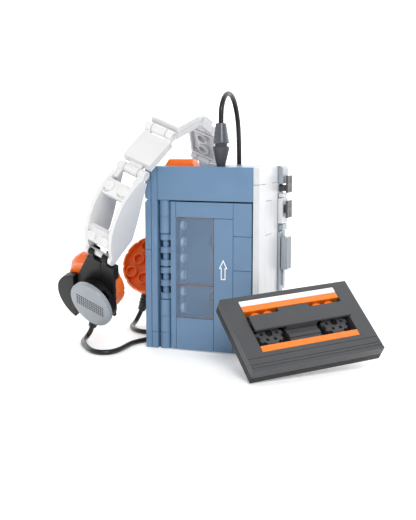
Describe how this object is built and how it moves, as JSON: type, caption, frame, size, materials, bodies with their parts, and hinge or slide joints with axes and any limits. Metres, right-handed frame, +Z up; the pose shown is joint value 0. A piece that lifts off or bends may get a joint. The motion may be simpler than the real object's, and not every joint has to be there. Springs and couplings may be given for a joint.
{
  "type": "cassette player",
  "caption": "Brick-built portable cassette player with a hinged door, push buttons, a slider, a knob, a plugged-in corded headset and a cassette.",
  "frame": {"origin": "centre of the player's flat base, on the surface it stands on", "axes": "+Z up, -Y out of the door, +X towards the side with the buttons"},
  "size_m": [0.1679, 0.1201, 0.1236],
  "materials": {
    "blue_panel": "satin moulded plastic",
    "white_panel": "gloss moulded plastic",
    "grey_panel": "gloss moulded plastic",
    "metal": "plated",
    "dark_plastic": "satin",
    "clear_panel": "clear moulded plastic",
    "button_orange": "gloss moulded plastic",
    "green_plastic": "gloss moulded plastic",
    "plug_grip": "satin",
    "cord_black": "satin jacket",
    "disc_grey": "satin",
    "black_plastic": "satin",
    "pad_orange": "gloss moulded plastic",
    "band_white": "gloss moulded plastic",
    "label_white": "gloss tile",
    "label_orange": "gloss tile"
  },
  "bodies": {
    "player": {"base_plate": "blue_panel", "left_inner_panel": "blue_panel", "left_outer_tiles": "blue_panel", "top_front_tile": "blue_panel", "top_deck": "blue_panel", "back_cover": "blue_panel", "right_panels": "white_panel", "rear_corner_panel": "grey_panel", "hinge_posts": "blue_panel", "door_hinge_pin": "blue_panel", "bay_plate": "blue_panel", "tape_head": "metal", "button_spring": "metal", "control_blocks": "white_panel", "slider_rail": "grey_panel", "jack_socket": "green_plastic", "plug_barrel": "dark_plastic", "plug_sleeve": "plug_grip", "main_cord": "cord_black", "cord_splitter": "cord_black", "right_cord": "cord_black", "left_cord": "cord_black", "right_disc": "disc_grey", "right_shell": "black_plastic", "right_yoke": "black_plastic", "right_pad": "pad_orange", "right_relief": "cord_black", "left_disc": "disc_grey", "left_shell": "black_plastic", "left_yoke": "black_plastic", "left_pad": "pad_orange", "left_relief": "cord_black"},
    "door": {"door_edge": "blue_panel", "door_window": "clear_panel", "door_rails": "blue_panel", "door_arrow_panel": "blue_panel", "door_corner_blocks": "blue_panel"},
    "top_button": {"top_button": "button_orange"},
    "upper_button": {"upper_button": "dark_plastic"},
    "lower_button": {"lower_button": "dark_plastic"},
    "slider_grip": {"slider_grip": "grey_panel"},
    "side_knob": {"side_knob": "grey_panel"},
    "spindle_upper": {"spindle_upper": "dark_plastic"},
    "spindle_lower": {"spindle_lower": "dark_plastic"},
    "frame_right": {"frame_right": "band_white"},
    "plate_right": {"plate_right": "band_white"},
    "crown": {"crown_plate": "band_white", "crown_tile": "band_white"},
    "link_left": {"link_left": "band_white"},
    "plate_left": {"plate_left": "band_white"},
    "frame_left": {"frame_left": "band_white"},
    "cassette": {"cassette_shell": "black_plastic", "cassette_frame": "dark_plastic", "cassette_white_label": "label_white", "cassette_orange_labels": "label_orange", "cassette_bridge": "dark_plastic", "cassette_middle": "dark_plastic"},
    "reel_left": {"reel_left": "dark_plastic"},
    "reel_right": {"reel_right": "dark_plastic"}
  },
  "joints": [
    {"name": "door_hinge", "type": "hinge", "parent": "player", "child": "door", "pos_m": [-0.0192, -0.016, 0.04], "axis": [0, 0, -1], "range_deg": [0, 90]},
    {"name": "top_button_press", "type": "slide", "parent": "player", "child": "top_button", "axis": [0, 0, -1], "range_m": [0, 0.0012], "stiffness_N_per_m": 300, "deforming": ["button_spring"]},
    {"name": "upper_button_press", "type": "slide", "parent": "player", "child": "upper_button", "axis": [-1, 0, 0], "range_m": [0, 0.0008], "stiffness_N_per_m": 300},
    {"name": "lower_button_press", "type": "slide", "parent": "player", "child": "lower_button", "axis": [-1, 0, 0], "range_m": [0, 0.0008], "stiffness_N_per_m": 300},
    {"name": "slider_travel", "type": "slide", "parent": "player", "child": "slider_grip", "axis": [0, 0, 1], "range_m": [-0.0098, 0.0018]},
    {"name": "knob_turn", "type": "hinge", "parent": "player", "child": "side_knob", "pos_m": [0.0288, 0.0144, 0.0214], "axis": [1, 0, 0], "continuous": true},
    {"name": "spindle_upper_spin", "type": "hinge", "parent": "player", "child": "spindle_upper", "pos_m": [0.0016, -0.0008, 0.0515], "axis": [0, 1, 0], "continuous": true},
    {"name": "spindle_lower_spin", "type": "hinge", "parent": "player", "child": "spindle_lower", "pos_m": [0.0016, -0.0008, 0.0245], "axis": [0, 1, 0], "continuous": true},
    {"name": "band_right_clip", "type": "hinge", "parent": "player", "child": "frame_right", "pos_m": [-0.04567, -0.03285, 0.04663], "axis": [0.9266, -0.1138, -0.3584], "range_deg": [-4, 4]},
    {"name": "band_right_knuckle", "type": "hinge", "parent": "frame_right", "child": "plate_right", "pos_m": [-0.02995, -0.02955, 0.08623], "axis": [0.9266, -0.1138, -0.3584], "range_deg": [-5, 5]},
    {"name": "band_crown_right", "type": "hinge", "parent": "plate_right", "child": "crown", "pos_m": [-0.02134, -0.01703, 0.10453], "axis": [0.9266, -0.1138, -0.3584], "range_deg": [-5, 5]},
    {"name": "band_left_clip", "type": "hinge", "parent": "player", "child": "frame_left", "pos_m": [-0.03508, 0.04104, 0.05057], "axis": [0.9266, -0.1138, -0.3584], "range_deg": [-5, 5]},
    {"name": "band_left_knuckle", "type": "hinge", "parent": "frame_left", "child": "plate_left", "pos_m": [-0.02011, 0.03839, 0.09011], "axis": [0.9266, -0.1138, -0.3584], "range_deg": [-5, 5]},
    {"name": "band_link_left", "type": "hinge", "parent": "plate_left", "child": "link_left", "pos_m": [-0.01555, 0.02147, 0.10726], "axis": [0.9266, -0.1138, -0.3584], "range_deg": [-5, 5]},
    {"name": "cassette_lift", "type": "slide", "parent": "player", "child": "cassette", "axis": [0, 0, 1], "range_m": [0, 0.08]},
    {"name": "reel_left_spin", "type": "hinge", "parent": "cassette", "child": "reel_left", "pos_m": [0.04166, -0.04553, 0.0171], "axis": [0.4058, -0.4875, 0.7731], "continuous": true},
    {"name": "reel_right_spin", "type": "hinge", "parent": "cassette", "child": "reel_right", "pos_m": [0.06467, -0.02284, 0.01933], "axis": [0.4058, -0.4875, 0.7731], "continuous": true}
  ],
  "couplings": [
    {"joint": "band_right_knuckle", "follows": "band_right_clip", "ratio": -0.96},
    {"joint": "band_crown_right", "follows": "band_right_clip", "ratio": -0.402},
    {"joint": "band_left_clip", "follows": "band_right_clip", "ratio": 0.849},
    {"joint": "band_left_knuckle", "follows": "band_right_clip", "ratio": -0.565},
    {"joint": "band_link_left", "follows": "band_right_clip", "ratio": -0.471}
  ]
}
